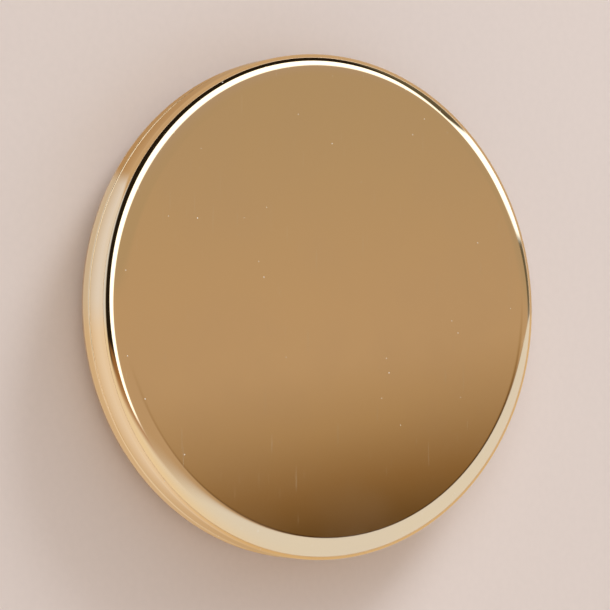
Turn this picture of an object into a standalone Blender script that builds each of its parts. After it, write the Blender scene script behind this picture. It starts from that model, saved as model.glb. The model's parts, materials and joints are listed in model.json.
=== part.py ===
"""A slim round powder compact, closed: two polished gold shells that meet at a rolled parting line, a
concealed snap catch at the front (-Y) and a small barrel hinge at the back (+Y).

The compact lies on its base. The origin is the centre of the underside and +Z points out of the lid.
Lengths below are in millimetres and are turned into metres as each mesh is made.
"""

import math

import bmesh
import bpy
from mathutils import Matrix

METRES = 0.001

# Driving sizes
OUTER_R = 37.5
HEIGHT = 11.2
SEAM_Z = 5.9
SEAM_GAP = 0.16
WALL = 0.9
EDGE_ROLL = 0.2
GAP = 0.2
THIN_GAP = 0.1

# Lid shell
LID_EDGE_R = 3.4
LID_EDGE_Z = 2.2
LID_RIM_Z = SEAM_Z + SEAM_GAP / 2
LID_CEILING_Z = HEIGHT - WALL

# Base shell
BASE_EDGE_R = 5.0
BASE_EDGE_Z = 4.6
BASE_RIM_Z = SEAM_Z - SEAM_GAP / 2
BASE_FLOOR_Z = WALL

# Frames that snap into the shells
FRAME_R = OUTER_R - WALL - 0.4
FRAME_SKIRT = 0.8
FRAME_SHEET = 0.8
WELL_R = 29.4
WELL_WALL = 0.7
DECK_Z = 5.4
DECK_UNDER_Z = DECK_Z - FRAME_SHEET
LIP_Z = 6.2
LINER_Z = 6.4
LINER_SHEET_Z = LINER_Z + 0.9
LINER_TOP_Z = 8.1
MIRROR_VIEW_R = 31.6

# Hinge
HINGE_Y = 36.9
HINGE_Z = SEAM_Z
BARREL_R = 1.3
PIN_R = 0.5
BORE_R = 0.58
HINGE_HALF = 7.0
LID_KNUCKLE_HALF = 2.2
KNUCKLE_GAP = 0.3
NOTCH_HALF = HINGE_HALF + 0.4
NOTCH_CLEAR = BARREL_R + 0.2
LEAF_T = 0.7
LEAF_SCREW_X = 4.5

# Screws, the same for every leaf and catch piece
SCREW_SHANK_R = 0.4
SCREW_HEAD_R = 0.85
SCREW_HEAD_H = 0.38
SCREW_HOLE_R = 0.55

# Where the leaves and the catch stand, and how far their parts reach
BASE_ARM_Y = 34.5
BASE_LEAF_Y = 31.0
BASE_SCREW_Y = 32.4
LID_ARM_Y = 34.4
LID_LEAF_Y = 33.4
LID_SCREW_Y = 34.25
ARM_END_Y = HINGE_Y - 0.8
SKIRT_GAP_Y = 34.0
HOOK_HALF = 2.0
HOOK_PLATE_HALF = 4.5
HOOK_PLATE_FRONT_Y = -35.0
HOOK_PLATE_BACK_Y = -33.5
HOOK_SCREW_X = 3.5
HOOK_Y = -34.25
NOSE_Y = -33.45
NOSE_Z = 4.4
TONGUE_Y = -32.9
SPRING_END_Y = -30.5
SPRING_SCREW_Y = -31.5
SLOT_FRONT_Y = -35.3
LINER_SLOT_BACK_Y = -33.9
TRAY_SLOT_BACK_Y = -32.4
BUMPER_X = 16.7
BUMPER_Y = -28.9
BUMPER_R = 1.2

# The stack in the well, from the shell's floor up, and the mirror in the lid
TRAY_FLOOR_Z = BASE_FLOOR_Z + 0.35
TRAY_FLOOR_T = 0.6
MAGNET_Z = TRAY_FLOOR_Z + TRAY_FLOOR_T + THIN_GAP
MAGNET_T = 0.4
MAGNET_R = 26.0
PAN_R = WELL_R - 0.4
PAN_Z = MAGNET_Z + MAGNET_T + THIN_GAP
PAN_SHEET = 0.3
PAN_TOP_Z = 5.0
POWDER_TOP_Z = 4.65
POWDER_DISH = 0.3
FILM_Z = POWDER_TOP_Z + 0.12
FILM_T = 0.1
FILM_CUT_R = 5.0
PUFF_R = 27.6
PUFF_EDGE = 1.1
PUFF_Z = PAN_TOP_Z + 0.05
PUFF_TOP_Z = 7.6
RIBBON_HALF = 5.1
RIBBON_REACH = 25.6
TAPE_T = 0.15
TAPE_INNER_R = 20.0
TAPE_OUTER_R = 28.5
MIRROR_R = MIRROR_VIEW_R + 1.0
MIRROR_Z = LINER_TOP_Z + GAP
MIRROR_T = 1.2
MIRROR_TAPE_R = 31.0

SIDE_NAMES = {-1: "left", 1: "right"}

SHELL_STEPS = 48
ROUND_STEPS = 36
SMALL_STEPS = 14
BARREL_STEPS = 20
OVER = 1.0
PAST_EDGE = OUTER_R + 2.5


def clear_scene():
    for obj in list(bpy.data.objects):
        bpy.data.objects.remove(obj, do_unlink=True)


def material(name, colour, roughness, metallic=0.0, transmission=0.0, sheen=0.0):
    made = bpy.data.materials.new(name)
    made.use_nodes = True
    shader = made.node_tree.nodes["Principled BSDF"]
    shader.inputs["Base Color"].default_value = (*colour, 1.0)
    shader.inputs["Roughness"].default_value = roughness
    shader.inputs["Metallic"].default_value = metallic
    shader.inputs["Transmission Weight"].default_value = transmission
    shader.inputs["Sheen Weight"].default_value = sheen
    made.diffuse_color = (*colour, 1.0)
    return made


def add_object(name, mesh, surface):
    obj = bpy.data.objects.new(name, mesh)
    bpy.context.scene.collection.objects.link(obj)
    if surface:
        mesh.materials.append(surface)
    return obj


def finish_mesh(name, bm, smooth=True):
    bmesh.ops.remove_doubles(bm, verts=bm.verts, dist=1e-7)
    bmesh.ops.recalc_face_normals(bm, faces=bm.faces)
    mesh = bpy.data.meshes.new(name)
    bm.to_mesh(mesh)
    bm.free()
    if smooth:
        mesh.shade_smooth()
        mesh.set_sharp_from_angle(angle=math.radians(35))
    return mesh


def arc(centre, radii, start, end, steps):
    """Points of an elliptical arc in the (r, z) plane, angles in degrees from +r towards +z."""
    points = []
    for i in range(steps + 1):
        a = math.radians(start + (end - start) * i / steps)
        points.append((centre[0] + radii[0] * math.cos(a), centre[1] + radii[1] * math.sin(a)))
    return points


def turned(name, outline, surface, steps=ROUND_STEPS, closed=False, matrix=None):
    """The solid that an (r, z) outline sweeps about Z. A closed outline makes a ring."""
    bm = bmesh.new()
    verts = [bm.verts.new((r * METRES, 0.0, z * METRES)) for r, z in outline]
    edges = [bm.edges.new(pair) for pair in zip(verts, verts[1:])]
    if closed:
        edges.append(bm.edges.new((verts[-1], verts[0])))
    bmesh.ops.spin(
        bm,
        geom=verts + edges,
        cent=(0.0, 0.0, 0.0),
        axis=(0.0, 0.0, 1.0),
        angle=math.tau,
        steps=steps,
        use_merge=True,
    )
    if matrix:
        bm.transform(matrix)
    return add_object(name, finish_mesh(name, bm), surface)


def extruded(name, outline, x_low, x_high, surface):
    """The solid that a closed (y, z) outline sweeps along X."""
    bm = bmesh.new()
    face = bm.faces.new([bm.verts.new((x_low * METRES, y * METRES, z * METRES)) for y, z in outline])
    made = bmesh.ops.extrude_face_region(bm, geom=[face])
    moved = [item for item in made["geom"] if isinstance(item, bmesh.types.BMVert)]
    bmesh.ops.translate(bm, vec=((x_high - x_low) * METRES, 0.0, 0.0), verts=moved)
    return add_object(name, finish_mesh(name, bm, smooth=False), surface)


def helper(obj):
    obj.hide_render = True
    obj.display_type = "WIRE"
    return obj


def box_cutter(name, low, high):
    bm = bmesh.new()
    bmesh.ops.create_cube(bm, size=1.0)
    for vert in bm.verts:
        vert.co = [(low[i] if vert.co[i] < 0 else high[i]) * METRES for i in range(3)]
    return helper(add_object(name, finish_mesh(name, bm, smooth=False), None))


def round_cutter(name, centre, radius, z_low, z_high, steps=SMALL_STEPS):
    outline = [(0.0, z_high), (radius, z_high), (radius, z_low), (0.0, z_low)]
    place = Matrix.Translation((centre[0] * METRES, centre[1] * METRES, 0.0))
    return helper(turned(name, outline, None, steps, matrix=place))


def boolean(obj, other, operation):
    modifier = obj.modifiers.new(other.name, "BOOLEAN")
    modifier.operation = operation
    modifier.solver = "EXACT"
    modifier.object = other


def cut(obj, *cutters):
    for cutter in cutters:
        boolean(obj, cutter, "DIFFERENCE")


def join(obj, *others):
    for other in others:
        boolean(obj, helper(other), "UNION")


def along_hinge():
    """Stands a piece turned about Z along the hinge's axis, which runs along X."""
    return Matrix.Translation((0.0, HINGE_Y * METRES, HINGE_Z * METRES)) @ Matrix.Rotation(
        math.pi / 2, 4, "Y"
    )


def knuckle(name, x_low, x_high, surface):
    chamfer = 0.15
    outline = [
        (BORE_R, x_low),
        (BARREL_R - chamfer, x_low),
        (BARREL_R, x_low + chamfer),
        (BARREL_R, x_high - chamfer),
        (BARREL_R - chamfer, x_high),
        (BORE_R, x_high),
    ]
    return turned(name, outline, surface, BARREL_STEPS, closed=True, matrix=along_hinge())


def screw(name, centre, head_z, tip_z, surface):
    """A small cheese-head screw. Its tip points up where tip_z is over head_z."""
    way = 1.0 if tip_z > head_z else -1.0
    under = head_z + way * SCREW_HEAD_H
    point = tip_z - way * 0.2
    outline = [
        (0.0, head_z),
        (SCREW_HEAD_R, head_z + way * 0.08),
        (SCREW_HEAD_R, under),
        (SCREW_SHANK_R, under),
        (SCREW_SHANK_R, point),
        (0.0, tip_z),
    ]
    place = Matrix.Translation((centre[0] * METRES, centre[1] * METRES, 0.0))
    return turned(name, outline, surface, SMALL_STEPS, matrix=place)


def make_lid_shell(gold):
    flat_r = OUTER_R - LID_EDGE_R
    inner_r = OUTER_R - WALL
    outline = [(0.0, HEIGHT)]
    outline += arc((flat_r, HEIGHT - LID_EDGE_Z), (LID_EDGE_R, LID_EDGE_Z), 90, 0, 6)
    outline += arc((OUTER_R - EDGE_ROLL, LID_RIM_Z + EDGE_ROLL), (EDGE_ROLL, EDGE_ROLL), 0, -90, 2)
    outline += [(inner_r + 0.15, LID_RIM_Z), (inner_r, LID_RIM_Z + 0.15)]
    outline += arc((flat_r - 0.1, LID_CEILING_Z - 1.4), (inner_r - flat_r + 0.1, 1.4), 0, 90, 3)
    outline.append((0.0, LID_CEILING_Z))
    shell = turned("lid_shell", outline, gold, SHELL_STEPS)
    low = (-NOTCH_HALF, OUTER_R - 3.0, LID_RIM_Z - OVER)
    high = (NOTCH_HALF, OUTER_R + OVER, HINGE_Z + NOTCH_CLEAR)
    cut(shell, box_cutter("lid_hinge_notch", low, high))


def make_base_shell(gold):
    flat_r = OUTER_R - BASE_EDGE_R
    inner_r = OUTER_R - WALL
    outline = [(0.0, 0.0)]
    outline += arc((flat_r, BASE_EDGE_Z), (BASE_EDGE_R, BASE_EDGE_Z), -90, 0, 7)
    outline += arc((OUTER_R - EDGE_ROLL, BASE_RIM_Z - EDGE_ROLL), (EDGE_ROLL, EDGE_ROLL), 0, 90, 2)
    outline += [(inner_r + 0.15, BASE_RIM_Z), (inner_r, BASE_RIM_Z - 0.15)]
    floor_r = flat_r + 0.1
    outline += arc((floor_r, BASE_EDGE_Z - 0.1), (inner_r - floor_r, 3.6), 0, -90, 4)
    outline.append((0.0, BASE_FLOOR_Z))
    shell = turned("base_shell", outline, gold, SHELL_STEPS)
    low = (-NOTCH_HALF, OUTER_R - 3.0, HINGE_Z - NOTCH_CLEAR)
    high = (NOTCH_HALF, OUTER_R + OVER, BASE_RIM_Z + OVER)
    cut(shell, box_cutter("base_hinge_notch", low, high))


def make_lid_liner(frame):
    """The ring that holds the mirror and snaps into the lid shell."""
    slope_r = MIRROR_VIEW_R + 1.4
    skirt_in = FRAME_R - FRAME_SKIRT
    outline = [
        (slope_r, LINER_Z),
        (FRAME_R - 0.2, LINER_Z),
        (FRAME_R, LINER_Z + 0.2),
        (FRAME_R, LINER_Z + 1.1),
        (FRAME_R + 0.15, LINER_Z + 1.3),
        (FRAME_R, LINER_Z + 1.5),
        (FRAME_R, LINER_TOP_Z),
        (skirt_in, LINER_TOP_Z),
        (skirt_in, LINER_SHEET_Z),
        (slope_r + 0.3, LINER_SHEET_Z),
        (MIRROR_VIEW_R + 0.6, LINER_TOP_Z),
        (MIRROR_VIEW_R, LINER_TOP_Z),
        (MIRROR_VIEW_R, LINER_TOP_Z - 0.2),
    ]
    liner = turned("lid_liner", outline, frame, SHELL_STEPS, closed=True)
    low, high = LINER_Z - OVER, LINER_TOP_Z + OVER
    over_sheet = LINER_SHEET_Z + 0.02
    arm_room = LID_KNUCKLE_HALF + 0.4
    slot_half = HOOK_HALF + 0.4
    cut(
        liner,
        box_cutter("liner_hinge_notch", (-NOTCH_HALF, skirt_in - 0.1, low), (NOTCH_HALF, PAST_EDGE, high)),
        box_cutter("liner_skirt_gap", (-NOTCH_HALF, SKIRT_GAP_Y, over_sheet), (NOTCH_HALF, PAST_EDGE, high)),
        box_cutter("liner_arm_notch", (-arm_room, LID_ARM_Y - 0.4, low), (arm_room, PAST_EDGE, high)),
        box_cutter("liner_hook_slot", (-slot_half, SLOT_FRONT_Y, low), (slot_half, LINER_SLOT_BACK_Y, high)),
    )
    for side in (-1, 1):
        for label, x, y in (("leaf", LEAF_SCREW_X, LID_SCREW_Y), ("hook", HOOK_SCREW_X, HOOK_Y)):
            hole = f"liner_{label}_hole_{side}"
            cut(liner, round_cutter(hole, (side * x, y), SCREW_HOLE_R, LINER_Z + 0.35, high))


def make_base_tray(frame):
    """The tray that snaps into the base shell: the pan's well, the deck round it, and a lip into the lid."""
    well_out = WELL_R + WELL_WALL
    skirt_in = FRAME_R - FRAME_SKIRT
    outline = [
        (0.0, TRAY_FLOOR_Z + TRAY_FLOOR_T),
        (WELL_R, TRAY_FLOOR_Z + TRAY_FLOOR_T),
        (WELL_R, DECK_Z - 0.5),
        (WELL_R + 0.15, DECK_Z - 0.15),
        (WELL_R + 0.5, DECK_Z),
        (skirt_in + 0.1, DECK_Z),
        (skirt_in + 0.2, LIP_Z),
        (FRAME_R - 0.2, LIP_Z),
        (FRAME_R, LIP_Z - 0.2),
        (FRAME_R, DECK_Z - 0.5),
        (FRAME_R + 0.15, DECK_Z - 0.7),
        (FRAME_R, DECK_Z - 0.9),
        (FRAME_R, DECK_UNDER_Z - 0.4),
        (skirt_in, DECK_UNDER_Z - 0.4),
        (skirt_in, DECK_UNDER_Z),
        (well_out, DECK_UNDER_Z),
        (well_out, TRAY_FLOOR_Z + 0.2),
        (well_out - 0.2, TRAY_FLOOR_Z),
        (0.0, TRAY_FLOOR_Z),
    ]
    tray = turned("base_tray", outline, frame, SHELL_STEPS)
    low, high = DECK_UNDER_Z - OVER, DECK_Z + OVER
    slot_half = HOOK_HALF + 0.4
    cut(
        tray,
        box_cutter("tray_hinge_notch", (-NOTCH_HALF, BASE_ARM_Y - 0.3, low), (NOTCH_HALF, PAST_EDGE, high)),
        box_cutter("tray_hook_slot", (-slot_half, SLOT_FRONT_Y, low), (slot_half, TRAY_SLOT_BACK_Y, high)),
    )
    hole_top = DECK_Z - 0.25
    for side in (-1, 1):
        centre = (side * LEAF_SCREW_X, BASE_SCREW_Y)
        cut(tray, round_cutter(f"tray_leaf_hole_{side}", centre, SCREW_HOLE_R, low, hole_top))
        pocket = (side * BUMPER_X, BUMPER_Y)
        cut(tray, round_cutter(f"tray_bumper_pocket_{side}", pocket, BUMPER_R + 0.3, DECK_Z - 0.35, high))
    cut(tray, round_cutter("tray_spring_hole", (0.0, SPRING_SCREW_Y), SCREW_HOLE_R, low, hole_top))


def make_base_leaf(gold):
    """The base's half of the hinge: a plate under the deck with the two outer knuckles."""
    low = DECK_UNDER_Z - THIN_GAP - LEAF_T
    high = low + LEAF_T
    back = BASE_ARM_Y + LEAF_T
    plate = [(BASE_LEAF_Y, low), (back, low), (back, high), (BASE_LEAF_Y, high)]
    leaf = extruded("base_hinge_leaf", plate, -HINGE_HALF, HINGE_HALF, gold)
    arm = [
        (BASE_ARM_Y, low + 0.1),
        (back - 0.05, low + 0.1),
        (back - 0.05, HINGE_Z - 1.0),
        (ARM_END_Y, HINGE_Z - 1.0),
        (ARM_END_Y, HINGE_Z - 0.3),
        (BASE_ARM_Y, HINGE_Z - 0.3),
    ]
    inner = LID_KNUCKLE_HALF + KNUCKLE_GAP
    for side in (-1, 1):
        x_low, x_high = sorted((side * inner, side * HINGE_HALF))
        inset = 0.05
        join(leaf, extruded(f"base_arm_{side}", arm, x_low + inset, x_high - inset, None))
        join(leaf, knuckle(f"base_knuckle_{side}", x_low, x_high, None))
    for side in (-1, 1):
        centre = (side * LEAF_SCREW_X, BASE_SCREW_Y)
        cut(leaf, round_cutter(f"base_leaf_hole_{side}", centre, SCREW_HOLE_R, low - OVER, high + OVER))
        screw(f"base_leaf_screw_{SIDE_NAMES[side]}", centre, low - 0.45, DECK_Z - 0.35, STEEL)


def make_lid_leaf(gold):
    """The lid's half of the hinge: a plate over the liner with the middle knuckle."""
    low = LINER_SHEET_Z + THIN_GAP + 0.05
    high = low + LEAF_T
    back = LID_ARM_Y + LEAF_T
    plate = [(LID_LEAF_Y, low), (back, low), (back, high), (LID_LEAF_Y, high)]
    leaf = extruded("lid_hinge_leaf", plate, -HINGE_HALF + 0.5, HINGE_HALF - 0.5, gold)
    arm = [
        (LID_ARM_Y, HINGE_Z + 0.3),
        (ARM_END_Y, HINGE_Z + 0.3),
        (ARM_END_Y, HINGE_Z + 1.0),
        (back - 0.05, HINGE_Z + 1.0),
        (back - 0.05, high - 0.1),
        (LID_ARM_Y, high - 0.1),
    ]
    half = LID_KNUCKLE_HALF
    join(leaf, extruded("lid_arm", arm, 0.05 - half, half - 0.05, None))
    join(leaf, knuckle("lid_knuckle", -half, half, None))
    for side in (-1, 1):
        centre = (side * LEAF_SCREW_X, LID_SCREW_Y)
        cut(leaf, round_cutter(f"lid_leaf_hole_{side}", centre, SCREW_HOLE_R, low - OVER, high + OVER))
        screw(f"lid_leaf_screw_{SIDE_NAMES[side]}", centre, high + 0.45, LINER_Z + 0.45, STEEL)


def make_hinge_pin(steel):
    half = HINGE_HALF - 0.1
    outline = [
        (0.0, -half),
        (PIN_R - 0.12, -half),
        (PIN_R, 0.12 - half),
        (PIN_R, half - 0.12),
        (PIN_R - 0.12, half),
        (0.0, half),
    ]
    turned("hinge_pin", outline, steel, BARREL_STEPS, matrix=along_hinge())


def make_catch_hook(gold):
    """A bent strip under the lid's front: a plate on the liner and a leg with a nose at its end."""
    low = LINER_SHEET_Z + THIN_GAP + 0.05
    high = low + 0.6
    front, end = HOOK_PLATE_FRONT_Y, HOOK_PLATE_BACK_Y
    plate = [(front, low), (end, low), (end, high), (front, high)]
    hook = extruded("catch_hook", plate, -HOOK_PLATE_HALF, HOOK_PLATE_HALF, gold)
    back = HOOK_Y - 0.3
    leg = [
        (back, high - 0.05),
        (back, NOSE_Z - 0.25),
        (back + 0.25, NOSE_Z - 0.5),
        (NOSE_Y - 0.35, NOSE_Z - 0.5),
        (NOSE_Y, NOSE_Z - 0.1),
        (NOSE_Y, NOSE_Z),
        (back + 0.5, NOSE_Z),
        (back + 0.5, high - 0.05),
    ]
    join(hook, extruded("hook_leg", leg, -HOOK_HALF, HOOK_HALF, None))
    for side in (-1, 1):
        centre = (side * HOOK_SCREW_X, HOOK_Y)
        cut(hook, round_cutter(f"hook_hole_{side}", centre, SCREW_HOLE_R, low - OVER, high + OVER))
        screw(f"hook_screw_{SIDE_NAMES[side]}", centre, high + 0.45, LINER_Z + 0.45, STEEL)


def make_catch_spring(steel):
    """A spring strip under the deck. Its tongue leans over the hook's nose and gives way as it passes."""
    high = DECK_UNDER_Z - THIN_GAP - 0.3
    low = high - 0.4
    outline = [
        (SPRING_END_Y, high),
        (SPRING_END_Y, low),
        (TONGUE_Y - 0.3, low),
        (TONGUE_Y - 0.3, NOSE_Z + 0.15),
        (NOSE_Y - 0.2, NOSE_Z + 0.35),
        (NOSE_Y - 0.2, NOSE_Z + 0.5),
        (TONGUE_Y - 0.3, NOSE_Z + 0.8),
        (TONGUE_Y + 0.1, NOSE_Z + 0.8),
        (TONGUE_Y + 0.1, high),
    ]
    spring = extruded("catch_spring", outline, -HOOK_HALF, HOOK_HALF, steel)
    centre = (0.0, SPRING_SCREW_Y)
    cut(spring, round_cutter("spring_hole", centre, SCREW_HOLE_R, low - OVER, high + OVER))
    screw("catch_spring_screw", centre, low - 0.45, DECK_Z - 0.35, STEEL)


def disc(name, radius, z_low, z_high, edge, surface, steps=ROUND_STEPS, edge_steps=1):
    """A flat disc. Its upper and lower edges are rounded by edge, or bevelled with one edge step."""
    outline = [(0.0, z_high)]
    outline += arc((radius - edge, z_high - edge), (edge, edge), 90, 0, edge_steps)
    outline += arc((radius - edge, z_low + edge), (edge, edge), 0, -90, edge_steps)
    outline.append((0.0, z_low))
    return turned(name, outline, surface, steps)


def make_pan(tin):
    floor_z = PAN_Z + PAN_SHEET
    outline = [
        (0.0, floor_z),
        (PAN_R - 0.6, floor_z),
        (PAN_R - 0.35, floor_z + 0.3),
        (PAN_R - 0.35, PAN_TOP_Z - 0.1),
        (PAN_R - 0.2, PAN_TOP_Z),
        (PAN_R - 0.05, PAN_TOP_Z - 0.1),
        (PAN_R, PAN_Z + 0.35),
        (PAN_R - 0.35, PAN_Z),
        (0.0, PAN_Z),
    ]
    turned("powder_pan", outline, tin)


def make_powder(powder):
    """Pressed powder with a raised rim, a shallow dish and a raised centre."""
    radius = PAN_R - 0.65
    low = PAN_Z + 0.4
    outline = [
        (0.0, POWDER_TOP_Z),
        (5.0, POWDER_TOP_Z),
        (6.0, POWDER_TOP_Z - POWDER_DISH),
        (radius - 3.0, POWDER_TOP_Z - POWDER_DISH),
        (radius - 2.0, POWDER_TOP_Z),
        (radius - 0.4, POWDER_TOP_Z),
        (radius, POWDER_TOP_Z - 0.4),
        (radius, low + 0.4),
        (radius - 0.4, low),
        (0.0, low),
    ]
    turned("pressed_powder", outline, powder)


def make_film(film):
    """The clear sheet over the powder, with a half-moon cut-out to lift it by."""
    sheet = disc("divider_film", PAN_R - 0.8, FILM_Z, FILM_Z + FILM_T, 0.03, film)
    centre = (0.0, 3.0 - PAN_R)
    cut(sheet, round_cutter("film_cut_out", centre, FILM_CUT_R, FILM_Z - OVER, FILM_Z + OVER, 32))


def make_ribbon(satin):
    """The band across the puff's back, bowed up at its middle."""
    rise, sheet, bends = 0.1, 0.15, 8
    top = []
    bottom = []
    for i in range(bends + 1):
        y = RIBBON_REACH * (2 * i / bends - 1)
        z = PUFF_TOP_Z + 0.12 + rise * (1.0 - (y / RIBBON_REACH) ** 2)
        top.append((y, z + sheet))
        bottom.append((y, z))
    extruded("puff_ribbon", top + bottom[::-1], -RIBBON_HALF, RIBBON_HALF, satin)


def make_bumpers(silicone):
    for side in (-1, 1):
        outline = [(0.0, DECK_Z - 0.25), (BUMPER_R, DECK_Z - 0.25), (BUMPER_R, DECK_Z + 0.4)]
        outline += arc((BUMPER_R - 0.5, DECK_Z + 0.4), (0.5, 0.4), 0, 90, 3)
        outline.append((0.0, DECK_Z + 0.8))
        place = Matrix.Translation((side * BUMPER_X * METRES, BUMPER_Y * METRES, 0.0))
        turned(f"lid_bumper_{SIDE_NAMES[side]}", outline, silicone, SMALL_STEPS, matrix=place)


def make_tray_tape(tape):
    low = BASE_FLOOR_Z + THIN_GAP
    inner, outer = TAPE_INNER_R, TAPE_OUTER_R
    outline = [(inner, low), (outer, low), (outer, low + TAPE_T), (inner, low + TAPE_T)]
    turned("tray_tape", outline, tape, ROUND_STEPS, closed=True)


def hang_on_hinge(lid_pieces):
    """Parents what moves with the lid to an empty on the hinge's axis."""
    axis = bpy.data.objects.new("lid_hinge_axis", None)
    axis.location = (0.0, HINGE_Y * METRES, HINGE_Z * METRES)
    bpy.context.scene.collection.objects.link(axis)
    bpy.context.view_layer.update()
    for name in lid_pieces:
        obj = bpy.data.objects[name]
        obj.parent = axis
        obj.matrix_parent_inverse = axis.matrix_world.inverted()


clear_scene()
GOLD = material("polished_gold", (0.83, 0.60, 0.33), 0.06, metallic=1.0)
FRAME = material("satin_gold_plastic", (0.80, 0.60, 0.36), 0.28, metallic=0.9)
STEEL = material("spring_steel", (0.62, 0.62, 0.60), 0.3, metallic=1.0)
TIN = material("tinplate", (0.72, 0.72, 0.70), 0.35, metallic=1.0)
GLASS = material("mirror_glass", (0.92, 0.93, 0.93), 0.02, metallic=1.0)
TAPE = material("foam_tape", (0.86, 0.86, 0.84), 0.8)
RUBBER = material("magnetic_rubber", (0.10, 0.09, 0.09), 0.75)
SILICONE = material("clear_silicone", (0.85, 0.83, 0.78), 0.35)
POWDER = material("pressed_powder", (0.80, 0.58, 0.43), 0.95)
FILM = material("clear_film", (0.95, 0.95, 0.95), 0.08, transmission=0.9)
VELOUR = material("puff_velour", (0.88, 0.76, 0.68), 1.0, sheen=0.6)
SATIN = material("ribbon_satin", (0.82, 0.68, 0.52), 0.45, sheen=0.3)

make_lid_shell(GOLD)
make_lid_liner(FRAME)
make_lid_leaf(GOLD)
make_catch_hook(GOLD)
disc("mirror", MIRROR_R, MIRROR_Z, MIRROR_Z + MIRROR_T, 0.2, GLASS, SHELL_STEPS)
tape_z = MIRROR_Z + MIRROR_T + THIN_GAP
disc("mirror_tape", MIRROR_TAPE_R, tape_z, LID_CEILING_Z - THIN_GAP, 0.05, TAPE)

make_base_shell(GOLD)
make_tray_tape(TAPE)
make_base_tray(FRAME)
make_base_leaf(GOLD)
make_hinge_pin(STEEL)
make_catch_spring(STEEL)
make_bumpers(SILICONE)
disc("magnet_sheet", MAGNET_R, MAGNET_Z, MAGNET_Z + MAGNET_T, 0.05, RUBBER)
make_pan(TIN)
make_powder(POWDER)
make_film(FILM)
disc("puff", PUFF_R, PUFF_Z, PUFF_TOP_Z, PUFF_EDGE, VELOUR, edge_steps=3)
make_ribbon(SATIN)

hang_on_hinge(
    [
        "lid_shell",
        "lid_liner",
        "lid_hinge_leaf",
        "lid_leaf_screw_left",
        "lid_leaf_screw_right",
        "catch_hook",
        "hook_screw_left",
        "hook_screw_right",
        "mirror",
        "mirror_tape",
    ]
)
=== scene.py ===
"""Looks for a slim round powder compact: polished gold shells, the fittings inside them and a soft puff.

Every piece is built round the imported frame. Lengths are in millimetres, and MM turns them into metres.
"""

import json
import math

import bmesh
import bpy
from mathutils import Matrix, Vector, noise


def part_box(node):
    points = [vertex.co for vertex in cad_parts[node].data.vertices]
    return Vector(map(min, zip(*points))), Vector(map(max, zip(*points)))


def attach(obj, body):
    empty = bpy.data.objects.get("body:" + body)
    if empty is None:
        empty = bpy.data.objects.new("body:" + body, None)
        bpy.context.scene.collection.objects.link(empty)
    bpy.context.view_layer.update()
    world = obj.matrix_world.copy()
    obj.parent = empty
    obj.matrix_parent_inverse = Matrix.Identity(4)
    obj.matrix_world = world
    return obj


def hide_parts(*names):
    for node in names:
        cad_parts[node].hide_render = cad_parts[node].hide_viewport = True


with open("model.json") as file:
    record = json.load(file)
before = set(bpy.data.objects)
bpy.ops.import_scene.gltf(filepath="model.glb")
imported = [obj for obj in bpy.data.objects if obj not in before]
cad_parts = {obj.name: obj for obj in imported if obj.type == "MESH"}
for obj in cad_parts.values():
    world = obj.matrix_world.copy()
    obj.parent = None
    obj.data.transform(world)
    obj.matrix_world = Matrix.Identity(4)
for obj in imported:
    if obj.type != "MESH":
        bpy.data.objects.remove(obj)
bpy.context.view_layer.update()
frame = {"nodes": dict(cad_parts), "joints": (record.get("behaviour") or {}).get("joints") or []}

MM = 0.001


def low_high(node):
    """A node's lowest and highest corner, in millimetres."""
    low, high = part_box(node)
    return low / MM, high / MM


def centre_of(node):
    """The middle of a node's footprint, in millimetres."""
    low, high = low_high(node)
    return (low.x + high.x) / 2, (low.y + high.y) / 2


# Driving sizes, read from the frame
LID_LOW, LID_HIGH = low_high("lid_shell")
BASE_LOW, BASE_HIGH = low_high("base_shell")
OUTER_R = LID_HIGH.x
HEIGHT = LID_HIGH.z
LID_RIM_Z = LID_LOW.z
BASE_RIM_Z = BASE_HIGH.z
SEAM_Z = (LID_RIM_Z + BASE_RIM_Z) / 2
TRAY_LOW, TRAY_HIGH = low_high("base_tray")
LINER_LOW, LINER_HIGH = low_high("lid_liner")
HINGE_Y = frame["joints"][0]["pos_m"][1] / MM
HINGE_HALF = low_high("base_hinge_leaf")[1].x
HOOK_HALF = low_high("catch_spring")[1].x
RIBBON_HALF = low_high("puff_ribbon")[1].x

# Section sizes, the same as the CAD solids have
WALL = 0.9
EDGE_ROLL = 0.2
LID_EDGE_R = 3.4
LID_EDGE_Z = 2.2
BASE_EDGE_R = 5.0
BASE_EDGE_Z = 4.6
FRAME_R = OUTER_R - WALL - 0.4
SKIRT_R = FRAME_R - 0.8
MIRROR_VIEW_R = 31.6
BARREL_R = 1.3
PIN_R = 0.5
BORE_R = 0.58
LEAF_T = 0.7
SCREW_HOLE_R = 0.55
SCREW_HEAD_H = 0.38
SCREW_SHANK_R = 0.4
LINER_SHEET = 0.9
DECK_Z = 5.4
DECK_UNDER_Z = DECK_Z - 0.8
WELL_R = 29.4

# The hinge at the back and the catch at the front
NOTCH_HALF = HINGE_HALF + 0.4
NOTCH_ROOM = BARREL_R + 0.2
SKIRT_GAP_Y = 34.0
KNUCKLE_GAP = 0.3
LID_KNUCKLE_HALF = 2.2
BASE_ARM_Y = 34.5
LID_ARM_Y = 34.4
ARM_REACH_Y = HINGE_Y - 0.8
ALONG_HINGE = Matrix.Translation((0, HINGE_Y * MM, SEAM_Z * MM)) @ Matrix.Rotation(math.pi / 2, 4, "Y")
HOOK_Y = -34.25
NOSE_Y = -33.45
HOOK_ROOM = HOOK_HALF + 0.4
SLOT_FRONT_Y = -35.3
LINER_SLOT_BACK_Y = -33.9
TRAY_SLOT_BACK_Y = -32.4
LID_LEAF_SCREWS = ("lid_leaf_screw_left", "lid_leaf_screw_right")
HOOK_SCREWS = ("hook_screw_left", "hook_screw_right")
BASE_LEAF_SCREWS = ("base_leaf_screw_left", "base_leaf_screw_right")
SPRING_SCREWS = ("catch_spring_screw",)
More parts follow.
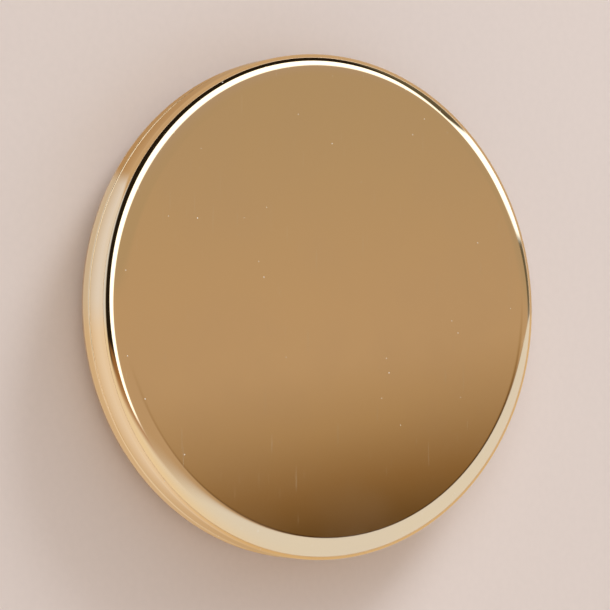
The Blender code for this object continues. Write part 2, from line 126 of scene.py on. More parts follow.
BUMPERS = ("lid_bumper_left", "lid_bumper_right")

# The puff is simulated larger than life, and the cloth may move each point this far in life size
SIM_SCALE = 10.0
PUFF_GIVE = 0.22

# The lens looks down on the lid from the front, turned so that the front points to the picture's left
VIEW_TURN = math.radians(31.45)
VIEW_ROLL = math.radians(-3.35)
VIEW_PLACE = (0.1055, 0.0045, 11.815)
SENSOR = 36.0
LENS = 177.05

# Floor and lamp: tones, then metres and watts, except the painted reflection ring's reach in millimetres
FLOOR_TONE = (0.745, 0.625, 0.530)
FLOOR_HALF = 3.0
FLOOR_DROP = 0.00005
PAINTED_REFLECTION_REACH = 150.0
KEY_PLACE = (-0.92, 0.48, 0.44)
KEY_SIZE = 0.42
KEY_POWER = 7.2

ROUND_STEPS = 240
SMALL_STEPS = 48
OVER = 1.0
SHARP = math.radians(35)


# ---------------------------------------------------------------- mesh tools


def add_object(name, mesh, surface):
    obj = bpy.data.objects.new(name, mesh)
    bpy.context.scene.collection.objects.link(obj)
    if surface:
        mesh.materials.append(surface)
    return obj


def finish_mesh(name, bm, sharp=SHARP):
    bmesh.ops.recalc_face_normals(bm, faces=bm.faces)
    mesh = bpy.data.meshes.new(name)
    bm.to_mesh(mesh)
    bm.free()
    mesh.shade_smooth()
    mesh.set_sharp_from_angle(angle=sharp)
    return mesh


def arc(centre, radii, start, end, steps):
    """Points of an elliptical arc, angles in degrees from the first axis towards the second."""
    points = []
    for i in range(steps + 1):
        a = math.radians(start + (end - start) * i / steps)
        points.append((centre[0] + radii[0] * math.cos(a), centre[1] + radii[1] * math.sin(a)))
    return points


def turned(name, outline, surface, steps=ROUND_STEPS, closed=False, matrix=None):
    """What an (r, z) outline sweeps about Z. A closed outline makes a ring."""
    bm = bmesh.new()
    rings = []
    for r, z in outline:
        count = 1 if r < 1e-6 else steps
        rings.append([])
        for i in range(count):
            a = math.tau * i / steps
            rings[-1].append(bm.verts.new((r * MM * math.cos(a), r * MM * math.sin(a), z * MM)))
    pairs = list(zip(rings, rings[1:]))
    if closed:
        pairs.append((rings[-1], rings[0]))
    for upper, lower in pairs:
        for i in range(steps):
            j = (i + 1) % steps
            corners = [upper[i % len(upper)], lower[i % len(lower)]]
            corners += [lower[j % len(lower)], upper[j % len(upper)]]
            bm.faces.new(list(dict.fromkeys(corners)))
    if matrix:
        bm.transform(matrix)
    return add_object(name, finish_mesh(name, bm), surface)


def extruded(name, outline, x_low, x_high, surface):
    """What a closed (y, z) outline sweeps along X."""
    bm = bmesh.new()
    face = bm.faces.new([bm.verts.new((x_low * MM, y * MM, z * MM)) for y, z in outline])
    made = bmesh.ops.extrude_face_region(bm, geom=[face])
    moved = [item for item in made["geom"] if isinstance(item, bmesh.types.BMVert)]
    bmesh.ops.translate(bm, vec=((x_high - x_low) * MM, 0.0, 0.0), verts=moved)
    return add_object(name, finish_mesh(name, bm), surface)


def box_cutter(low, high, corner=0.0):
    """A box with its upright edges rounded by corner."""
    bm = bmesh.new()
    bmesh.ops.create_cube(bm, size=1.0)
    for vert in bm.verts:
        vert.co = [(low[i] if vert.co[i] < 0 else high[i]) * MM for i in range(3)]
    if corner:
        upright = [e for e in bm.edges if abs(e.verts[0].co.z - e.verts[1].co.z) > 1e-6]
        bmesh.ops.bevel(
            bm, geom=upright, offset=corner * MM, offset_type="OFFSET",
            segments=5, profile=0.5, affect="EDGES",
        )
    return add_object("cutter", finish_mesh("cutter", bm), None)


def moved_to(x, y):
    return Matrix.Translation((x * MM, y * MM, 0.0))


def round_cutter(centre, radius, z_low, z_high, steps=SMALL_STEPS):
    outline = [(0.0, z_high), (radius, z_high), (radius, z_low), (0.0, z_low)]
    return turned("cutter", outline, None, steps, matrix=moved_to(*centre))


def screw_holes(screws, z_low, z_high):
    """Cutters for the holes that these screws go through."""
    return [round_cutter(centre_of(node), SCREW_HOLE_R, z_low, z_high, 24) for node in screws]


def apply_modifiers(obj):
    evaluated = obj.evaluated_get(bpy.context.evaluated_depsgraph_get())
    mesh = bpy.data.meshes.new_from_object(evaluated)
    mesh.name = obj.name
    obj.modifiers.clear()
    obj.data = mesh


def combine(obj, operation, *others):
    """Cuts the others from obj, or joins them to it, and removes them."""
    for other in others:
        modifier = obj.modifiers.new("boolean", "BOOLEAN")
        modifier.operation = operation
        modifier.solver = "EXACT"
        modifier.object = other
    apply_modifiers(obj)
    for other in others:
        bpy.data.objects.remove(other, do_unlink=True)
    obj.data.shade_smooth()
    obj.data.set_sharp_from_angle(angle=SHARP)


def soften(obj, width, angle=40.0, segments=3):
    """Rounds the edges that are sharper than angle."""
    modifier = obj.modifiers.new("bevel", "BEVEL")
    modifier.width = width * MM
    modifier.segments = segments
    modifier.limit_method = "ANGLE"
    modifier.angle_limit = math.radians(angle)
    modifier.use_clamp_overlap = True
    modifier.miter_outer = "MITER_ARC"
    apply_modifiers(obj)
    obj.data.shade_smooth()
    obj.data.set_sharp_from_angle(angle=SHARP)


def place_piece(obj, node, body):
    """obj stands for the CAD node, which it hides, and moves with the body."""
    obj.data.name = obj.name
    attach(obj, body)
    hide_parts(node)
    return obj


# ---------------------------------------------------------------- shells


def lid_shell_outline():
    flat_r = OUTER_R - LID_EDGE_R
    inner_r = OUTER_R - WALL
    outline = [(0.0, HEIGHT), (flat_r / 2, HEIGHT), (flat_r - 0.15, HEIGHT)]
    outline += arc((flat_r, HEIGHT - LID_EDGE_Z), (LID_EDGE_R, LID_EDGE_Z), 90, 0, 28)
    outline.append((OUTER_R, HEIGHT - LID_EDGE_Z - 0.15))
    outline.append((OUTER_R, LID_RIM_Z + EDGE_ROLL + 0.1))
    outline += arc((OUTER_R - EDGE_ROLL, LID_RIM_Z + EDGE_ROLL), (EDGE_ROLL, EDGE_ROLL), 0, -90, 10)
    outline += arc((inner_r + 0.15, LID_RIM_Z + 0.15), (0.15, 0.15), -90, -180, 3)
    ceiling = HEIGHT - WALL
    outline += arc((flat_r - 0.1, ceiling - 1.4), (inner_r - flat_r + 0.1, 1.4), 0, 90, 12)
    outline.append((0.0, ceiling))
    return outline


def base_shell_outline():
    flat_r = OUTER_R - BASE_EDGE_R
    inner_r = OUTER_R - WALL
    outline = [(0.0, 0.0), (flat_r / 2, 0.0), (flat_r - 0.15, 0.0)]
    outline += arc((flat_r, BASE_EDGE_Z), (BASE_EDGE_R, BASE_EDGE_Z), -90, 0, 36)
    outline.append((OUTER_R, BASE_RIM_Z - EDGE_ROLL - 0.1))
    outline += arc((OUTER_R - EDGE_ROLL, BASE_RIM_Z - EDGE_ROLL), (EDGE_ROLL, EDGE_ROLL), 0, 90, 10)
    outline += arc((inner_r + 0.15, BASE_RIM_Z - 0.15), (0.15, 0.15), 90, 180, 3)
    floor_r = flat_r + 0.1
    outline += arc((floor_r, BASE_EDGE_Z - 0.1), (inner_r - floor_r, 3.6), 0, -90, 14)
    outline.append((0.0, WALL))
    return outline


def make_shells(gold):
    """Both covers, each with a notch at the back for the knuckles."""
    for name, outline, node, body, z_low, z_high in (
        ("lid_cover", lid_shell_outline(), "lid_shell", "lid", LID_RIM_Z - OVER, SEAM_Z + NOTCH_ROOM),
        ("base_cover", base_shell_outline(), "base_shell", "base", SEAM_Z - NOTCH_ROOM, BASE_RIM_Z + OVER),
    ):
        shell = turned(name, outline, gold)
        low = (-NOTCH_HALF, OUTER_R - 3.0, z_low)
        high = (NOTCH_HALF, OUTER_R + OVER, z_high)
        combine(shell, "DIFFERENCE", box_cutter(low, high))
        soften(shell, 0.14)
        place_piece(shell, node, body)


# ---------------------------------------------------------------- camera


def add_camera():
    """VIEW_PLACE is the lid centre's place before the lens, right, down and ahead, in lid radii."""
    normal = Vector((
        math.sin(VIEW_TURN) * math.cos(VIEW_ROLL),
        math.sin(VIEW_TURN) * math.sin(VIEW_ROLL),
        -math.cos(VIEW_TURN),
    ))
    along_y = (Vector((1, 0, 0)) - normal * normal.x).normalized()
    along_x = along_y.cross(normal)
    to_row = Matrix((along_x, along_y, normal))
    place = Vector((0, 0, HEIGHT * MM)) - to_row @ Vector(VIEW_PLACE) * OUTER_R * MM
    right = to_row @ Vector((1, 0, 0))
    up = to_row @ Vector((0, -1, 0))
    back = to_row @ Vector((0, 0, -1))
    camera = bpy.data.objects.new("camera", bpy.data.cameras.new("camera"))
    camera.matrix_world = Matrix.Translation(place) @ Matrix((right, up, back)).transposed().to_4x4()
    camera.data.sensor_width = SENSOR
    camera.data.lens = LENS
    camera.data.clip_start = 0.05
    camera.data.clip_end = 20.0
    bpy.context.scene.collection.objects.link(camera)
    bpy.context.scene.camera = camera


# ---------------------------------------------------------------- node wiring


class Nodes:
    """Short calls for wiring a material's or world's node tree."""

    def __init__(self, tree, shader=None):
        self.tree = tree
        self.shader = shader

    def colour(self, value):
        self.feed(self.shader.inputs["Base Color"], value)

    def rough(self, value):
        self.feed(self.shader.inputs["Roughness"], value)

    def normal(self, value):
        self.feed(self.shader.inputs["Normal"], value)

    def add(self, kind, **settings):
        node = self.tree.nodes.new(kind)
        for name, value in settings.items():
            setattr(node, name, value)
        return node

    def feed(self, socket, value):
        if isinstance(value, bpy.types.NodeSocket):
            self.tree.links.new(value, socket)
        else:
            socket.default_value = value

    def math(self, operation, *values, clamp=False):
        node = self.add("ShaderNodeMath", operation=operation, use_clamp=clamp)
        for socket, value in zip(node.inputs, values):
            self.feed(socket, value)
        return node.outputs[0]

    def times(self, first, second):
        return self.math("MULTIPLY", first, second)

    def plus(self, first, second, clamp=False):
        return self.math("ADD", first, second, clamp=clamp)

    def length(self, x, y):
        return self.math("SQRT", self.plus(self.times(x, x), self.times(y, y)))

    def xyz(self, vector):
        """A vector's three parts."""
        split = self.add("ShaderNodeSeparateXYZ")
        self.feed(split.inputs[0], vector)
        return split.outputs

    def step(self, value, low, high, to_low=0.0, to_high=1.0):
        """A smooth step from to_low to to_high as value goes from low to high."""
        node = self.add("ShaderNodeMapRange", interpolation_type="SMOOTHSTEP")
        for name, number in (("Value", value), ("From Min", low), ("From Max", high)):
            self.feed(node.inputs[name], number)
        node.inputs["To Min"].default_value = to_low
        node.inputs["To Max"].default_value = to_high
        return node.outputs["Result"]

    def mix(self, share, first, second):
        """A colour between first and second."""
        node = self.add("ShaderNodeMix", data_type="RGBA")
        self.feed(node.inputs["Factor"], share)
        for name, colour in (("A", first), ("B", second)):
            socket = next(s for s in node.inputs if s.name == name and s.type == "RGBA")
            self.feed(socket, (*colour, 1.0) if isinstance(colour, tuple) else colour)
        return next(s for s in node.outputs if s.type == "RGBA")

    def ramp(self, value, stops):
        """The colour at value along the stops, each a place from 0 to 1 and a colour."""
        node = self.add("ShaderNodeValToRGB")
        marks = node.color_ramp.elements
        while len(marks) < len(stops):
            marks.new(0.5)
        for mark, (at, colour) in zip(marks, stops):
            mark.position = at
            mark.color = (*colour, 1.0)
        self.feed(node.inputs[0], value)
        return node.outputs[0]

    def tinted(self, first, second):
        """The product of two colours."""
        node = self.add("ShaderNodeVectorMath", operation="MULTIPLY")
        self.feed(node.inputs[0], first)
        self.feed(node.inputs[1], second)
        return node.outputs[0]

    def place(self, scale=(1.0, 1.0, 1.0), turn=0.0):
        """The point on the piece in the row frame, in millimetres, turned about Z and stretched."""
        node = self.add("ShaderNodeMapping")
        node.inputs["Scale"].default_value = [s / MM for s in scale]
        node.inputs["Rotation"].default_value[2] = math.radians(turn)
        self.feed(node.inputs["Vector"], self.add("ShaderNodeTexCoord").outputs["Object"])
        return node.outputs["Vector"]

    def noise(self, where, size, detail=3.0, roughness=0.5, distortion=0.0):
        """Noise whose bumps are about size across, in the units of where."""
        node = self.add("ShaderNodeTexNoise")
        self.feed(node.inputs["Vector"], where)
        node.inputs["Scale"].default_value = 1.0 / size
        node.inputs["Detail"].default_value = detail
        node.inputs["Roughness"].default_value = roughness
        node.inputs["Distortion"].default_value = distortion
        return node.outputs["Fac"]

    def cells(self, where, size, output="Distance", feature="F1"):
        node = self.add("ShaderNodeTexVoronoi", feature=feature)
        self.feed(node.inputs["Vector"], where)
        node.inputs["Scale"].default_value = 1.0 / size
        return node.outputs[output]

    def bump(self, height, strength, depth, normal=None):
        """depth is the bump's full height in millimetres."""
        node = self.add("ShaderNodeBump")
        node.inputs["Strength"].default_value = strength
        node.inputs["Distance"].default_value = depth * MM
        self.feed(node.inputs["Height"], height)
        if normal:
            self.feed(node.inputs["Normal"], normal)
        return node.outputs["Normal"]


def new_look(name, **uniform):
    """A material with its Principled shader, whose uniform values are set on the shader's own sockets."""
    made = bpy.data.materials.new(name)
    made.use_nodes = True
    shader = made.node_tree.nodes["Principled BSDF"]
    for socket, value in uniform.items():
        shader.inputs[socket.replace("_", " ")].default_value = value
    return made, Nodes(made.node_tree, shader)


# ---------------------------------------------------------------- materials


def gold_look():
    """Mirror-polished plated metal with wiping haze, hairlines and a little dust."""
    made, n = new_look("polished_gold_look")
    where = n.place()
    haze = n.noise(where, 17.0, detail=4.0, roughness=0.55)
    hairlines = None
    for turn, size in ((24.0, 0.22), (-41.0, 0.3), (78.0, 0.26)):
        streak = n.noise(n.place((0.035, 1.0, 1.0), turn), size, detail=1.0)
        line = n.step(streak, 0.745, 0.81)
        hairlines = line if hairlines is None else n.math("MAXIMUM", hairlines, line)
    kept = n.add("ShaderNodeSeparateColor")
    n.feed(kept.inputs[0], n.cells(where, 2.0, "Color"))
    speck = n.times(n.step(n.cells(where, 2.0), 0.062, 0.030), n.step(kept.outputs[0], 0.52, 0.9))
    tint = n.mix(n.step(haze, 0.35, 0.7), (0.905, 0.700, 0.425), (0.890, 0.690, 0.430))
    tint = n.mix(n.times(hairlines, 0.35), tint, (0.97, 0.86, 0.66))
    n.colour(n.mix(n.times(speck, 0.6), tint, (0.95, 0.90, 0.82)))
    rough = n.plus(n.step(haze, 0.3, 0.75, 0.030, 0.075), n.times(hairlines, 0.10))
    n.feed(n.shader.inputs["Metallic"], n.math("SUBTRACT", 1.0, n.times(speck, 0.8)))
    n.rough(n.plus(rough, n.times(speck, 0.5), clamp=True))
    soft = n.bump(n.noise(where, 9.0, detail=2.0), 0.10, 0.010)
    n.normal(n.bump(n.plus(hairlines, speck), 0.12, 0.004, soft))
    return made


def satin_look(name, dark, light, roughness):
    """Metallised moulding with faint turned lines and a fine moulded grain."""
    made, n = new_look(name, Metallic=0.92)
    where = n.place()
    broad = n.noise(where, 12.0, detail=3.0)
    n.colour(n.mix(n.step(broad, 0.3, 0.7), dark, light))
    fine = n.noise(where, 0.16, detail=2.0)
    x, y, _ = n.xyz(where)
    joined = n.add("ShaderNodeCombineXYZ")
    n.feed(joined.inputs[0], n.length(x, y))
    grain = n.noise(joined.outputs[0], 0.12, detail=3.0, roughness=0.7)
    level = n.plus(n.step(broad, 0.25, 0.75, roughness - 0.04, roughness + 0.05), n.times(grain, 0.06))
    n.rough(level)
    n.normal(n.bump(n.plus(grain, n.times(fine, 0.5)), 0.25, 0.008))
    return made


def steel_look(name, dark, light, roughness, stretch=(1.0, 0.06, 1.0)):
    """Rolled or turned bare metal: fine lines one way, light stains and a few pits."""
    made, n = new_look(name, Metallic=1.0)
    lines = n.noise(n.place(stretch), 0.07, detail=3.0, roughness=0.65)
    stain = n.noise(n.place(), 3.2, detail=4.0)
    pits = n.step(n.cells(n.place(), 0.8), 0.10, 0.04)
    tone = n.mix(n.step(stain, 0.35, 0.75), light, dark)
    n.colour(n.mix(n.times(pits, 0.35), tone, (0.22, 0.20, 0.18)))
    rough = n.plus(n.step(stain, 0.2, 0.8, roughness - 0.05, roughness + 0.08), n.times(lines, 0.1))
    n.rough(rough)
    n.normal(n.bump(n.math("SUBTRACT", lines, pits), 0.3, 0.008))
    return made


def mirror_look():
    """Silvered glass with a trace of powder dust and wiping marks."""
    made, n = new_look("mirror_glass_look", Metallic=1.0)
    where = n.place()
    wipe = n.noise(n.place((0.12, 1.0, 1.0), 32.0), 4.0, detail=4.0, roughness=0.6)
    dust = n.step(n.cells(where, 1.9), 0.035, 0.02)
    some = n.step(n.noise(where, 9.0, detail=2.0), 0.5, 0.62)
    dust = n.times(dust, some)
    tint = n.mix(n.step(wipe, 0.3, 0.7), (0.90, 0.925, 0.915), (0.86, 0.89, 0.885))
    n.colour(n.mix(n.times(dust, 0.6), tint, (0.85, 0.72, 0.62)))
    rough = n.plus(n.step(wipe, 0.45, 0.8, 0.008, 0.05), n.times(dust, 0.6), clamp=True)
    n.rough(rough)
    n.normal(n.bump(n.noise(where, 22.0, detail=1.0), 0.05, 0.01))
    return made


def soft_sheet_look(name, dark, light, roughness, size, depth):
    """Foam, rubber or another dull sheet with open cells, painted darker in their hollows as painted shade.
    """
    made, n = new_look(name)
    where = n.place()
    broad = n.noise(where, 6.0, detail=3.0)
    pore = n.cells(where, size)
    tone = n.mix(n.step(broad, 0.3, 0.7), dark, light)
    # Painted shade: the cells' hollows take a darker copy of the tone
    shade = tuple(c * 0.55 for c in dark)
    n.colour(n.mix(n.step(pore, 0.35, 0.1, 0.0, 0.6), tone, shade))
    n.rough(n.step(broad, 0.2, 0.8, roughness - 0.08, roughness + 0.06))
    n.normal(n.bump(pore, 0.7, depth))
    return made


def silicone_look():
    made, n = new_look("silicone_look", Transmission_Weight=0.35, IOR=1.41)
    where = n.place()
    cloud = n.noise(where, 0.7, detail=4.0)
    n.colour(n.mix(n.step(cloud, 0.3, 0.7), (0.80, 0.76, 0.68), (0.90, 0.88, 0.83)))
    n.rough(n.step(cloud, 0.2, 0.8, 0.28, 0.45))
    n.normal(n.bump(n.noise(where, 0.12, detail=3.0), 0.25, 0.01))
    return made


def powder_look():
    """Fine pressed powder: two close tones, mineral sparkle and a dry, slightly crumbed surface."""
    made, n = new_look("pressed_powder_look", Specular_IOR_Level=0.2, Sheen_Weight=0.25)
    where = n.place()
    broad = n.noise(where, 8.0, detail=4.0)
    crumb = n.noise(where, 0.22, detail=4.0, roughness=0.7)
    fleck = n.step(n.cells(where, 0.35), 0.16, 0.08)
    tone = n.mix(n.step(broad, 0.3, 0.7), (0.560, 0.300, 0.165), (0.640, 0.365, 0.215))
    tone = n.mix(n.step(crumb, 0.3, 0.7, 0.0, 0.35), tone, (0.72, 0.46, 0.30))
    n.colour(n.mix(n.times(fleck, 0.35), tone, (0.86, 0.70, 0.55)))
    n.rough(n.step(fleck, 0.0, 1.0, 0.92, 0.55))
    n.normal(n.bump(crumb, 0.6, 0.03))
    return made


def film_look():
    """A clear cast sheet with faint waves, hairlines and powder smears."""
    made, n = new_look("clear_film_look", Transmission_Weight=0.96, IOR=1.46)
    where = n.place()
    smear = n.noise(n.place((0.2, 1.0, 1.0), 20.0), 2.6, detail=4.0)
    n.colour(n.mix(n.step(smear, 0.45, 0.8), (0.98, 0.98, 0.98), (0.95, 0.89, 0.83)))
    n.rough(n.step(smear, 0.4, 0.85, 0.03, 0.28))
    n.normal(n.bump(n.noise(where, 5.0, detail=2.0), 0.3, 0.03))
    return made


def velour_look():
    """Short cotton pile, brushed in patches, with painted shade in the dips between tufts."""
    made, n = new_look("puff_velour_look", Sheen_Weight=0.55, Sheen_Roughness=0.45, Specular_IOR_Level=0.15)
    n.shader.inputs["Sheen Tint"].default_value = (1.0, 0.93, 0.87, 1.0)
    where = n.place()
    brushed = n.noise(where, 3.4, detail=4.0, roughness=0.6, distortion=0.6)
    pile = n.noise(n.place((1.0, 0.45, 1.0), 25.0), 0.13, detail=4.0, roughness=0.75)
    tuft = n.cells(where, 0.26)
    tone = n.mix(n.step(brushed, 0.3, 0.7), (0.735, 0.575, 0.485), (0.815, 0.675, 0.590))
    tone = n.mix(n.step(pile, 0.25, 0.75, 0.0, 0.5), tone, (0.885, 0.775, 0.700))
    # Painted shade: the tone darkens between the tufts, where the bump dips
    n.colour(n.mix(n.step(tuft, 0.45, 0.75, 0.0, 0.4), tone, (0.56, 0.41, 0.33)))
    n.rough(n.step(brushed, 0.2, 0.8, 0.86, 1.0))
    coarse = n.bump(brushed, 0.35, 0.12)
    n.normal(n.bump(n.math("SUBTRACT", pile, tuft), 0.75, 0.07, coarse))
    return made


def satin_ribbon_look():
    """Satin weave: long floats along the ribbon, crossed by fine weft lines, with denser selvedges."""
    made, n = new_look("ribbon_satin_look", Sheen_Weight=0.3, Specular_IOR_Level=0.6, Anisotropic=0.5)
    across, along, _ = n.xyz(n.place())
    warp = n.math("SINE", n.times(across, math.tau / 0.21))
    shift = n.times(n.math("FLOOR", n.times(across, 1 / 0.21)), 1.9)
    weft = n.math("SINE", n.plus(n.times(along, math.tau / 0.62), shift))
    weave = n.plus(n.times(warp, 0.6), n.times(n.step(weft, 0.5, 0.95), -0.5))
    broad = n.noise(n.place((1.0, 0.15, 1.0)), 1.4, detail=3.0)
    edge = n.step(n.math("ABSOLUTE", across), RIBBON_HALF - 0.75, RIBBON_HALF - 0.6)
    tone = n.mix(n.step(broad, 0.3, 0.7), (0.74, 0.55, 0.36), (0.84, 0.67, 0.48))
    # Painted shade: the weave's low places, its troughs and weft lines, are painted darker
    tone = n.mix(n.step(weave, -0.8, 0.6, 0.5, 0.0), tone, (0.50, 0.34, 0.20))
    n.colour(n.mix(n.times(edge, 0.5), tone, (0.88, 0.74, 0.58)))
    n.rough(n.step(broad, 0.2, 0.8, 0.30, 0.44))
    n.normal(n.bump(weave, 0.55, 0.03))
    return made


def thread_look():
    made, n = new_look("puff_thread_look", Sheen_Weight=0.3)
    twist = n.noise(n.place((1.0, 1.0, 2.5)), 0.12, detail=2.0)
    n.colour(n.mix(n.step(twist, 0.3, 0.7), (0.66, 0.48, 0.36), (0.85, 0.70, 0.58)))
    n.rough(n.step(twist, 0.2, 0.8, 0.55, 0.75))
    n.normal(n.bump(twist, 0.5, 0.04))
    return made


def floor_look():
    """Matt paper with a barely visible tooth."""
    made, n = new_look("floor_look", Specular_IOR_Level=0.1)
    tooth = n.noise(n.place(), 1.1, detail=4.0)
    broad = n.noise(n.place(), 240.0, detail=2.0)
    tone = n.mix(n.step(broad, 0.3, 0.7), FLOOR_TONE, tuple(c * 0.985 for c in FLOOR_TONE))
    n.colour(n.mix(n.step(tooth, 0.3, 0.7, 0.0, 0.12), tone, tuple(c * 1.12 for c in FLOOR_TONE)))
    n.rough(n.step(tooth, 0.2, 0.8, 0.82, 0.95))
    n.normal(n.bump(tooth, 0.05, 0.03))
    return made


# ---------------------------------------------------------------- frames inside the shells


def lid_liner_outline():
    low, high = LINER_LOW.z, LINER_HIGH.z
    sheet = low + LINER_SHEET
    slope_r = MIRROR_VIEW_R + 1.4
    outline = [(slope_r, low), (slope_r + 0.15, low)]
    outline += arc((FRAME_R - 0.2, low + 0.2), (0.2, 0.2), -90, 0, 6)
    outline += [(FRAME_R, low + 1.1), (FRAME_R + 0.15, low + 1.3), (FRAME_R, low + 1.5)]
    outline += arc((FRAME_R - 0.1, high - 0.1), (0.1, 0.1), 0, 90, 3)
    outline += arc((SKIRT_R + 0.1, high - 0.1), (0.1, 0.1), 90, 180, 3)
    outline += [(SKIRT_R, sheet), (slope_r + 0.3, sheet), (MIRROR_VIEW_R + 0.6, high)]
    outline += arc((MIRROR_VIEW_R + 0.1, high - 0.1), (0.1, 0.1), 90, 180, 4)
    outline.append((MIRROR_VIEW_R, high - 0.2))
    return outline


def make_lid_liner(satin):
    liner = turned("mirror_frame", lid_liner_outline(), satin, closed=True)
    low, high = LINER_LOW.z - OVER, LINER_HIGH.z + OVER
    over_sheet = LINER_LOW.z + LINER_SHEET + 0.02
    past = OUTER_R + OVER
    arm_room = LID_KNUCKLE_HALF + 0.4
    cutters = [
        box_cutter((-NOTCH_HALF, SKIRT_R - 0.1, low), (NOTCH_HALF, past, high)),
        box_cutter((-NOTCH_HALF, SKIRT_GAP_Y, over_sheet), (NOTCH_HALF, past, high)),
        box_cutter((-arm_room, LID_ARM_Y - 0.4, low), (arm_room, past, high)),
        box_cutter((-HOOK_ROOM, SLOT_FRONT_Y, low), (HOOK_ROOM, LINER_SLOT_BACK_Y, high), corner=0.3),
    ]
    cutters += screw_holes(LID_LEAF_SCREWS + HOOK_SCREWS, LINER_LOW.z + 0.35, high)
    combine(liner, "DIFFERENCE", *cutters)
    soften(liner, 0.07, segments=2)
    place_piece(liner, "lid_liner", "lid")


def base_tray_outline():
    low, lip = TRAY_LOW.z, TRAY_HIGH.z
    well_out = WELL_R + 0.7
    outline = [(0.0, low + 0.6), (WELL_R - 0.4, low + 0.6)]
    outline += arc((WELL_R - 0.3, low + 0.9), (0.3, 0.3), -90, 0, 5)
    outline += arc((WELL_R + 0.5, DECK_Z - 0.5), (0.5, 0.5), 180, 90, 10)
    outline += [(WELL_R + 0.65, DECK_Z), (SKIRT_R - 0.05, DECK_Z)]
    outline += arc((SKIRT_R + 0.02, DECK_Z + 0.12), (0.12, 0.12), -90, 0, 4)
    outline += arc((SKIRT_R + 0.3, lip - 0.12), (0.12, 0.12), 180, 90, 4)
    outline += arc((FRAME_R - 0.2, lip - 0.2), (0.2, 0.2), 90, 0, 6)
    outline += [(FRAME_R, DECK_Z - 0.5), (FRAME_R + 0.15, DECK_Z - 0.7), (FRAME_R, DECK_Z - 0.9)]
    outline += [(FRAME_R, DECK_UNDER_Z - 0.4), (SKIRT_R, DECK_UNDER_Z - 0.4), (SKIRT_R, DECK_UNDER_Z)]
    outline.append((well_out, DECK_UNDER_Z))
    outline += arc((well_out - 0.2, low + 0.2), (0.2, 0.2), 0, -90, 4)
    outline.append((0.0, low))
    return outline


def make_base_tray(satin):
    tray = turned("base_tray_moulding", base_tray_outline(), satin)
    low, high = DECK_UNDER_Z - OVER, DECK_Z + OVER
    past = OUTER_R + OVER
    cutters = [
        box_cutter((-NOTCH_HALF, BASE_ARM_Y - 0.3, low), (NOTCH_HALF, past, high)),
        box_cutter((-HOOK_ROOM, SLOT_FRONT_Y, low), (HOOK_ROOM, TRAY_SLOT_BACK_Y, high), corner=0.35),
    ]
    cutters += screw_holes(BASE_LEAF_SCREWS + SPRING_SCREWS, low, DECK_Z - 0.25)
    for bumper in BUMPERS:
        cutters.append(round_cutter(centre_of(bumper), 1.5, DECK_Z - 0.35, high, 40))
    combine(tray, "DIFFERENCE", *cutters)
    soften(tray, 0.07, segments=2)
    place_piece(tray, "base_tray", "base")


def disc(name, node, edge, surface, edge_steps):
    """A flat round piece the size of its CAD solid, with rounded edges."""
    low, high = low_high(node)
    radius = high.x
    outline = [(0.0, high.z), (radius - edge - 0.2, high.z)]
    outline += arc((radius - edge, high.z - edge), (edge, edge), 90, 0, edge_steps)
    outline += arc((radius - edge, low.z + edge), (edge, edge), 0, -90, edge_steps)
    outline += [(radius - edge - 0.2, low.z), (0.0, low.z)]
    return turned(name, outline, surface)


def make_mirror(glass):
    """A round glass with a narrow ground bevel on the side that shows."""
    low, high = low_high("mirror")
    radius = high.x
    outline = [(0.0, high.z), (radius - 0.25, high.z)]
    outline += arc((radius - 0.15, high.z - 0.15), (0.15, 0.15), 90, 0, 3)
    outline += arc((radius - 0.12, low.z + 0.42), (0.12, 0.12), 0, -60, 4)
    outline += [(radius - 2.2, low.z + 0.02), (radius - 2.3, low.z), (0.0, low.z)]
    place_piece(turned("bevelled_mirror", outline, glass), "mirror", "lid")


# ---------------------------------------------------------------- hinge and catch


def knuckle(x_low, x_high, surface):
    roll = 0.16
    outline = arc((BARREL_R - roll, x_low + roll), (roll, roll), -90, 0, 4)
    outline += arc((BARREL_R - roll, x_high - roll), (roll, roll), 0, 90, 4)
    outline += arc((BORE_R + 0.06, x_high - 0.06), (0.06, 0.06), 90, 180, 2)
    outline += arc((BORE_R + 0.06, x_low + 0.06), (0.06, 0.06), 180, 270, 2)
    return turned("knuckle", outline, surface, SMALL_STEPS, closed=True, matrix=ALONG_HINGE)


def plate(y_low, y_high, z_low, z_high):
    """The (y, z) corners of a flat plate."""
    return [(y_low, z_low), (y_high, z_low), (y_high, z_high), (y_low, z_high)]


def finish_leaf(leaf, parts, screws, z_low, z_high):
    """Joins the arms and knuckles to a hinge leaf and drills it."""
    combine(leaf, "UNION", *parts)
    combine(leaf, "DIFFERENCE", *screw_holes(screws, z_low - OVER, z_high + OVER))
    soften(leaf, 0.06, angle=50, segments=2)


def make_base_leaf(gold):
    low = low_high("base_hinge_leaf")[0]
    plate_low, plate_high = low.z, low.z + LEAF_T
    back = BASE_ARM_Y + LEAF_T
    flat = plate(low.y, back, plate_low, plate_high)
    leaf = extruded("base_hinge_leaf_rolled", flat, -HINGE_HALF, HINGE_HALF, gold)
    arm = [
        (BASE_ARM_Y, plate_low + 0.1),
        (back - 0.05, plate_low + 0.1),
        (back - 0.05, SEAM_Z - 1.0),
        (ARM_REACH_Y, SEAM_Z - 1.0),
        (ARM_REACH_Y, SEAM_Z - 0.3),
        (BASE_ARM_Y, SEAM_Z - 0.3),
    ]
    inner = LID_KNUCKLE_HALF + KNUCKLE_GAP
    parts = []
    for side in (-1, 1):
        x_low, x_high = sorted((side * inner, side * HINGE_HALF))
        parts.append(extruded("arm", arm, x_low + 0.05, x_high - 0.05, gold))
        parts.append(knuckle(x_low, x_high, gold))
    finish_leaf(leaf, parts, BASE_LEAF_SCREWS, plate_low, plate_high)
    place_piece(leaf, "base_hinge_leaf", "base")


